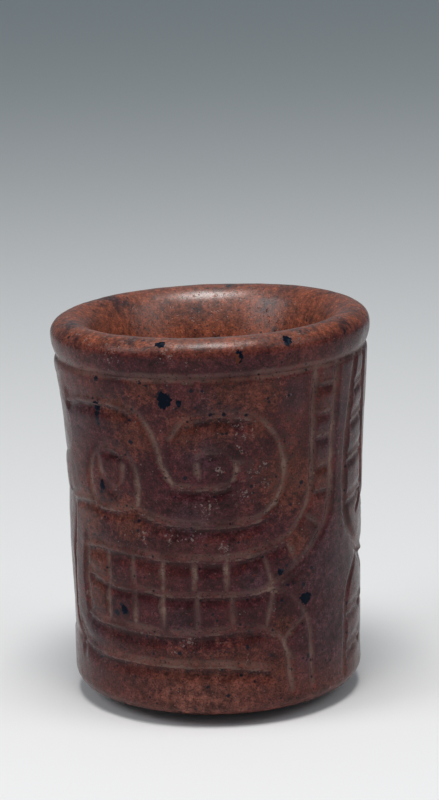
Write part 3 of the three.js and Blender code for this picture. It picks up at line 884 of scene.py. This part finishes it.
def stone_material(finish):
    """Polished red-brown stone: clouds of brown and maroon with dark, grey and orange patches,
    one dark patch being painted shade under the chin line, a tan foot with pale patches, and a
    warmer lip and hollow, painted lighter on the lip's top. At the cuts are worn faces and crests
    that also carry a painted highlight, painted shade under the crests and a painted sheen along
    the crease, and over all lie fine grains, pale chips, scratches and black flecks."""
    recipe = Recipe("red_brown_stone")
    place = recipe.add("ShaderNodeTexCoord").outputs["Object"]
    height = recipe.add("ShaderNodeSeparateXYZ", {"Vector": place}).outputs["Z"]
    blotches, mottle, grain = (recipe.noise(place, *kind) for kind in (BLOTCHES, MOTTLE, GRAIN))
    bright = recipe.value("bright")

    def frayed(value, fray):
        return recipe.scaled(grain, fray[1], recipe.scaled(mottle, fray[0], value))

    colour = recipe.mix(recipe.pattern(place, *CLOUDS), finish.maroon, finish.brown)
    for key, tone in (("dark", finish.maroon), ("grey", finish.purple), ("orange", finish.orange)):
        ragged = frayed(recipe.value(key), PATCH_FRAY)
        colour = recipe.mix(recipe.rise(ragged, *PATCH_EDGE), colour, tone)
    low = recipe.scaled(blotches, FOOT_FRAY, height)
    colour = recipe.mix(recipe.rise(low, *FOOT_HEIGHT), colour, finish.tan)
    paled = recipe.times(recipe.value("pale"), recipe.rise(mottle, *PALE_MOTTLE))
    colour = recipe.mix(paled, colour, finish.pale)
    used = recipe.times(recipe.value("handled"), recipe.rise(blotches, *HANDLED_BLOTCHES))
    colour = recipe.mix(used, colour, finish.handled)
    for noise, amount in zip((blotches, mottle, grain), VARIATION):
        colour = recipe.vary(colour, noise, amount)

    wobble = frayed(STRIP_SHIFT, STRIP_FRAY)

    def strip(key, *levels):
        return recipe.rise(recipe.math("ADD", recipe.value(key), wobble), *levels)

    # Painted shade: dark red in the strip under each level line's crest, less where strips are
    # bright
    painted_shade_share = recipe.times(strip(*PAINTED_SHADE_STRIP), recipe.scaled(bright, BRIGHT_SHADE, 1))
    colour = recipe.mix(painted_shade_share, colour, finish.painted_shade)
    # Pale dust and wear in the grooves; on the level lines' faces and crests the same pale colour
    # is a painted highlight, and along the crease a painted sheen
    worn = 0
    for row in WEAR_AND_HIGHLIGHT:
        worn = recipe.math("MAXIMUM", worn, strip(*row))
    patchy = recipe.scaled(recipe.rise(blotches, *WORN_BLOTCHES), *PATCHY_WEAR)
    worn = recipe.times(worn, recipe.scaled(bright, BRIGHT_WEAR, patchy))
    colour = recipe.mix(worn, colour, finish.dust_and_highlight)

    for kind, tone in ((DARK_GRAIN, finish.dark_grain), (RED_GRAIN, finish.red_grain)):
        colour = recipe.mix(recipe.pattern(place, *kind), colour, tone)
    chipped = recipe.scaled(recipe.value("chips"), CHIP_LIFT, recipe.noise(place, *CHIP_GRAIN))
    colour = recipe.mix(recipe.rise(chipped, *CHIPPED), colour, finish.chip)
    fleck_grain = recipe.noise(place, *FLECK_GRAIN)
    wander = recipe.scaled(fleck_grain, FLECK_FRAY, recipe.value("fleck_mm"))
    spot = recipe.rise(wander, *FLECKED_MM)
    for scale, reach, edge, rarity, step in SMALL_FLECKS:
        cells = recipe.add("ShaderNodeTexVoronoi", {"Vector": place, "Scale": scale})
        chance = recipe.add("ShaderNodeSeparateColor", {"Color": cells.outputs["Color"]})
        small = recipe.rise(cells.outputs["Distance"], reach, reach - edge, SMALL_FLECK_MOST)
        some = recipe.rise(chance.outputs["Red"], rarity, rarity + step)
        spot = recipe.math("MAXIMUM", spot, recipe.times(small, some))
    stretched = recipe.add("ShaderNodeMapping", {"Vector": place, "Scale": SCRATCH_STRETCH})
    scratches = recipe.pattern(stretched.outputs["Vector"], *SCRATCHES)
    scratches = recipe.times(scratches, recipe.rise(blotches, *SCRATCHED_BLOTCHES))
    colour = recipe.mix(scratches, colour, finish.dust_and_highlight)
    colour = recipe.mix(spot, colour, finish.dark_mineral)

    uneven = recipe.math("ADD", mottle, blotches)
    rough = recipe.scaled(uneven, UNEVEN_ROUGHNESS, finish.roughness - UNEVEN_ROUGHNESS)
    pits = recipe.pattern(place, *PITS)
    relief = recipe.math("SUBTRACT", recipe.times(mottle, MOTTLE_RELIEF), pits)
    normal = recipe.bump(recipe.scaled(grain, GRAIN_RELIEF, relief), *STONE_BUMP)
    return recipe.finish({
        "Base Color": colour, "Roughness": recipe.scaled(worn, WORN_ROUGHNESS, rough),
        "Normal": normal, "Specular IOR Level": finish.sheen,
        "Coat Weight": recipe.value("polish"), "Coat Roughness": finish.coat_roughness,
        "Coat IOR": finish.coat_ior, "Coat Normal": normal,
    })


def nodule_material(name, finish, speckled=False):
    """Black mineral with blue-grey clouds and a fine crystal grain. A speckled one has the
    warm stone of the lip between its black specks in place of the clouds."""
    recipe = Recipe(name)
    place = recipe.add("ShaderNodeTexCoord").outputs["Object"]
    crystals = recipe.noise(place, *CRYSTALS)
    if speckled:
        kind, low, high = MINERAL_SPECKS, finish.lip_front, finish.dark_mineral
    else:
        kind, low, high = MINERAL_CLOUDS, finish.dark_mineral, finish.blue_grey
    return recipe.finish({
        "Base Color": recipe.mix(recipe.pattern(place, *kind), low, high),
        "Roughness": recipe.scaled(crystals, *CRYSTAL_ROUGHNESS),
        "Specular IOR Level": finish.sheen * MINERAL_SHEEN,
        "Normal": recipe.bump(crystals, *CRYSTAL_BUMP),
    })


# Settings


def length_setting(name, words, default):
    return FloatProperty(
        name=name, description=words, default=default, min=0, unit="LENGTH", precision=5
    )


def colour_setting(name, words, default):
    return FloatVectorProperty(
        name=name, description=words, default=default, size=3, min=0, max=1, subtype="COLOR"
    )


def share_setting(name, words, default, low=0):
    return FloatProperty(
        name=name, description=words, default=default, min=low, max=1, subtype="FACTOR"
    )


def number_setting(name, words, default, low=0):
    return FloatProperty(name=name, description=words, default=default, min=low)


def count_setting(name, words, default, low):
    return IntProperty(name=name, description=words, default=default, min=low)


class BowlSizes(bpy.types.PropertyGroup):
    columns: count_setting("Columns", "Mesh columns round the bowl", 448, 64)
    wall_rows: count_setting("Wall rows", "Mesh rows up the carved wall", 134, 24)
    groove_width: length_setting("Groove width", "Width of the main grooves", 3.2 * MM)
    groove_depth: length_setting("Groove depth", "Depth of the main grooves", 1 * MM)
    fine_width: length_setting("Fine width", "Width of the finer grooves", 2.4 * MM)
    fine_depth: length_setting("Fine depth", "Depth of the finer grooves", 0.8 * MM)
    edge_round: length_setting("Edge round", "How far from the sunk field its edge is worn", 1 * MM)
    edge_drop: length_setting("Edge drop", "How much is worn off the field's edge", 0.28 * MM)
    nodule_rise: length_setting("Nodule rise", "How far nodules stand proud", 0.05 * MM)
    nodule_depth: length_setting("Nodule depth", "How far nodules reach into the stone", 1.8 * MM)


class StoneFinish(bpy.types.PropertyGroup):
    brown: colour_setting("Brown", "Main red-brown of the stone", (0.084, 0.022, 0.02))
    maroon: colour_setting("Maroon", "Darker clouds in the stone", (0.048, 0.011, 0.0145))
    purple: colour_setting("Grey purple", "Greyer patches in the stone", (0.055, 0.022, 0.029))
    orange: colour_setting("Orange", "Warmer patches in the stone", (0.1, 0.028, 0.018))
    tan: colour_setting("Foot tan", "Paler stone near the foot", (0.115, 0.036, 0.027))
    pale: colour_setting("Foot pale", "Palest stone of the foot", (0.175, 0.062, 0.045))
    # Warm stone of the lip and hollow; its start up the lip also paints the lip's top lighter
    handled: colour_setting("Handled", "Warm stone of the lip and hollow", (0.185, 0.046, 0.021))
    lip_front: colour_setting("Lip front", "Stone between the specks", (0.1, 0.03, 0.018))
    # Painted shade, dark red under the crests of the level lines
    painted_shade: colour_setting("Shade", "Dark red under the edges of cuts", (0.03, 0.007, 0.008))
    # Pale dust and wear in the grooves and scratches, also painted as highlight on the level lines'
    # faces and crests and as sheen along the crease
    dust_and_highlight: colour_setting("Dust", "Pale worn faces in the cuts", (0.22, 0.135, 0.11))
    chip: colour_setting("Chip", "Tiny pale grains and chips", (0.21, 0.15, 0.135))
    dark_grain: colour_setting("Dark grain", "Fine dark grains", (0.02, 0.009, 0.012))
    red_grain: colour_setting("Red grain", "Fine red grains", (0.17, 0.03, 0.02))
    dark_mineral: colour_setting("Black mineral", "Nodules and flecks", (0.002, 0.005, 0.012))
    blue_grey: colour_setting("Blue grey", "Clouds in the black mineral", (0.03, 0.042, 0.06))
    roughness: share_setting("Roughness", "Of the polished stone", 0.22, 0.15)
    sheen: share_setting("Sheen", "Strength of the stone's reflections", 0.14)
    coat_roughness: share_setting("Polish roughness", "Of the handled lip's polish", 0.42)
    coat_ior: number_setting("Polish index", "How strongly the polish bends light", 1.9, 1)


class StudioSettings(bpy.types.PropertyGroup):
    floor: colour_setting("Floor", "Pale floor near the bowl", (0.87, 0.87, 0.88))
    overhead: number_setting("Overhead", "Power of the overhead lamp in watts", 16.3)
    left: number_setting("Left", "Power of the left lamp in watts", 2.9)
    right: number_setting("Right", "Power of the right lamp in watts", 1.6)
    world: number_setting("World", "Strength of the room light", 0.2)


# Operators


class MakeStoneBody(bpy.types.Operator):
    """Make the carved stone body, with its hollow and its handled lip"""

    bl_idname = "bowl.make_body"
    bl_label = "Stone body"

    def execute(self, context):
        sizes, finish = context.scene.bowl_sizes, context.scene.bowl_finish
        profile = Profile(sizes.wall_rows)
        turn = np.arange(sizes.columns) * 360 / sizes.columns
        degrees, length = np.meshgrid(turn, profile.length)
        grid, cuts = bowl_surface(profile, Carving(sizes), degrees, length)
        marks = colour_marks(profile, degrees, length)
        body = closed_mesh(
            "bowl_stone_body", grid, (0, 0, 0), (0, 0, FLOOR_Z), **cuts, **marks
        )
        body.data.materials.append(stone_material(finish))
        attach(body, "root")
        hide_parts("bowl_body")
        return {"FINISHED"}


class MakeNodules(bpy.types.Operator):
    """Make the black mineral nodules that lie in the wall and in the lip"""

    bl_idname = "bowl.make_nodules"
    bl_label = "Mineral nodules"

    def execute(self, context):
        sizes, finish = context.scene.bowl_sizes, context.scene.bowl_finish
        profile, carving = Profile(sizes.wall_rows), Carving(sizes)
        plain_black = nodule_material("black_nodule", finish)
        speckled = nodule_material("speckled_nodule", finish, speckled=True)
        seats = [(row, profile.on_wall(row[2])) for row in WALL_NODULES]
        seats += [(row, profile.on_lip(row[2])) for row in LIP_NODULES]
        for (name, turn, _, *outline), place in seats:
            grid, top, bottom = self.plug(profile, carving, sizes, turn, place, *outline)
            nodule = closed_mesh(name + "_mineral", grid, bottom, top)
            nodule.data.materials.append(speckled if name == SPECKLED_NODULE else plain_black)
            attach(nodule, "root")
            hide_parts(name)
        return {"FINISHED"}

    def plug(self, profile, carving, sizes, turn, place, width, tall, outline_turn):
        """A plug under the surface: rows go from the middle of its underside out to the
        lumpy outline and back over the top, which follows the stone a little higher."""
        around = np.linspace(0, 2 * np.pi, NODULE_COLUMNS, endpoint=False)
        inset, sink, rise = np.transpose(NODULE_ROWS)[..., None]
        lift = rise * sizes.nodule_rise - sink * sizes.nodule_depth
        spread = inset * nodule_outline(outline_turn, around) * MM / 2
        radius = profile.at(place)[0]
        length = place + spread * tall * np.sin(around)
        degrees = turn + np.degrees(spread * width * np.cos(around) / radius)
        grid = bowl_surface(profile, carving, degrees, length, lift)[0]
        middle = np.full((1, 1), float(turn)), np.full((1, 1), place)
        top, bottom = (
            bowl_surface(profile, carving, *middle, height)[0].reshape(3)
            for height in (sizes.nodule_rise, -sizes.nodule_depth)
        )
        return grid, top, bottom


# The studio of the photograph, in metres and radians; the left lamp mirrors the right one.
WARM_WHITE = (1, 0.965, 0.935)
COOL_WHITE = (0.96, 0.97, 0.98)
ROOM_COLOUR = (0.8, 0.96, 1.04, 1)
OVERHEAD_PLACE, OVERHEAD_AIM, OVERHEAD_SIZE = (0, -0.327, 1.509), (0, -0.469, 0), (0.55, 0.65)
SIDE_PLACE, SIDE_AIM, SIDE_SIZE = (0.85, -0.316, 0.78), (0, 0, 0.06), (0.5, 0.5)
FLOOR_RINGS = [0.2, 0.5, 1, 2, 3, 4.5, 6]
FLOOR_COLUMNS = 96
FLOOR_THICKNESS = 0.01
FLOOR_ROUGHNESS = 0.9
SENSOR_MM, LENS_MM = 36, 117
CAMERA_PITCH, CAMERA_YAW, CAMERA_ROLL = 0.22503, -0.00342, 0.02588
CAMERA_PLACE = (-0.00032, -0.79856, 0.27574)


class MakeStudio(bpy.types.Operator):
    """Make the pale floor, the soft lamps, the room light and the camera"""

    bl_idname = "bowl.make_studio"
    bl_label = "Studio"

    def execute(self, context):
        scene, studio = context.scene, context.scene.bowl_studio
        scene.view_settings.view_transform = "Standard"
        self.floor(studio)
        overhead = OVERHEAD_PLACE, OVERHEAD_AIM, OVERHEAD_SIZE
        self.lamp("overhead_lamp", *overhead, studio.overhead, WARM_WHITE)
        for name, side, power in (("left_lamp", -1, studio.left), ("right_lamp", 1, studio.right)):
            place = (side * SIDE_PLACE[0], *SIDE_PLACE[1:])
            self.lamp(name, place, SIDE_AIM, SIDE_SIZE, power, COOL_WHITE)
        self.room(scene, studio)
        self.camera(scene)
        return {"FINISHED"}

    def floor(self, studio):
        """A round floor: rings at growing radii, each point at (r sin a, -r cos a, 0)."""
        radius = np.array(FLOOR_RINGS)[:, None]
        angle = np.linspace(0, 2 * np.pi, FLOOR_COLUMNS, endpoint=False)[None, ::-1]
        level = np.zeros((len(FLOOR_RINGS), FLOOR_COLUMNS))
        grid = np.stack((radius * np.sin(angle), -radius * np.cos(angle), level), axis=-1)
        under = grid[::-1] - (0, 0, FLOOR_THICKNESS)
        rows = np.concatenate((grid, under))
        floor = closed_mesh("studio_floor", rows, (0, 0, 0), (0, 0, -FLOOR_THICKNESS))
        paper = {"Base Color": (*studio.floor, 1), "Roughness": FLOOR_ROUGHNESS}
        floor.data.materials.append(Recipe("floor_paper").finish(paper))

    def lamp(self, name, place, aim, size, power, colour):
        lamp = bpy.data.lights.new(name, "AREA")
        lamp.shape = "RECTANGLE"
        lamp.size, lamp.size_y = size
        lamp.energy = power
        lamp.color = colour
        made = bpy.data.objects.new(name, lamp)
        made.matrix_world = aimed(place, aim)
        bpy.context.scene.collection.objects.link(made)

    def room(self, scene, studio):
        world = bpy.data.worlds.new("studio_room")
        world.use_nodes = True
        background = world.node_tree.nodes["Background"]
        background.inputs["Color"].default_value = ROOM_COLOUR
        background.inputs["Strength"].default_value = studio.world
        scene.world = world

    def camera(self, scene):
        """The camera of the photograph, worked out from the bowl's rim, crease and foot."""
        lens = bpy.data.cameras.new("photo_camera")
        lens.sensor_fit = "VERTICAL"
        lens.sensor_height = SENSOR_MM
        lens.lens = LENS_MM
        right = np.array([np.cos(CAMERA_YAW), np.sin(CAMERA_YAW), 0])
        level = np.array([-np.sin(CAMERA_YAW), np.cos(CAMERA_YAW), 0])
        ahead = level * np.cos(CAMERA_PITCH) - np.array([0, 0, np.sin(CAMERA_PITCH)])
        upward = np.cross(right, ahead)
        cos_roll, sin_roll = np.cos(CAMERA_ROLL), np.sin(CAMERA_ROLL)
        made = bpy.data.objects.new("photo_camera", lens)
        made.matrix_world = placed(
            CAMERA_PLACE, right * cos_roll - upward * sin_roll,
            right * sin_roll + upward * cos_roll, -ahead,
        )
        scene.collection.objects.link(made)
        scene.camera = made


def placed(place, right, upward, back):
    """The matrix of a thing that is at a place and has these three directions."""
    matrix = np.eye(4)
    matrix[:3] = np.column_stack((right, upward, back, place))
    return Matrix(matrix.tolist())


def aimed(place, aim):
    """A lamp's matrix: its -Z points from its place to its aim."""
    back = np.subtract(place, aim)
    back /= np.linalg.norm(back)
    side = np.cross((0, 1, 0.001), back)
    side /= np.linalg.norm(side)
    return placed(place, side, np.cross(back, side), back)


class BowlPanel(bpy.types.Panel):
    """The bowl's settings and its makers"""

    bl_idname = "VIEW3D_PT_grinding_bowl"
    bl_label = "Stone grinding bowl"
    bl_space_type = "VIEW_3D"
    bl_region_type = "UI"
    bl_category = "Bowl"

    def draw(self, context):
        layout = self.layout
        for group in SETTINGS:
            settings, box = getattr(context.scene, group), layout.box()
            for key in settings.__annotations__:
                box.prop(settings, key)
        for operator in MAKERS:
            layout.operator(operator.bl_idname)


SETTINGS = {"bowl_sizes": BowlSizes, "bowl_finish": StoneFinish, "bowl_studio": StudioSettings}
MAKERS = (MakeStoneBody, MakeNodules, MakeStudio)
CLASSES = (*SETTINGS.values(), *MAKERS, BowlPanel)


def register():
    for entry in CLASSES:
        bpy.utils.register_class(entry)
    for group, kind in SETTINGS.items():
        setattr(bpy.types.Scene, group, PointerProperty(type=kind))


def unregister():
    for group in SETTINGS:
        delattr(bpy.types.Scene, group)
    for entry in reversed(CLASSES):
        bpy.utils.unregister_class(entry)


def main():
    register()
    bpy.ops.bowl.make_body()
    bpy.ops.bowl.make_nodules()
    bpy.ops.bowl.make_studio()
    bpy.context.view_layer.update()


if __name__ == "__main__":
    main()
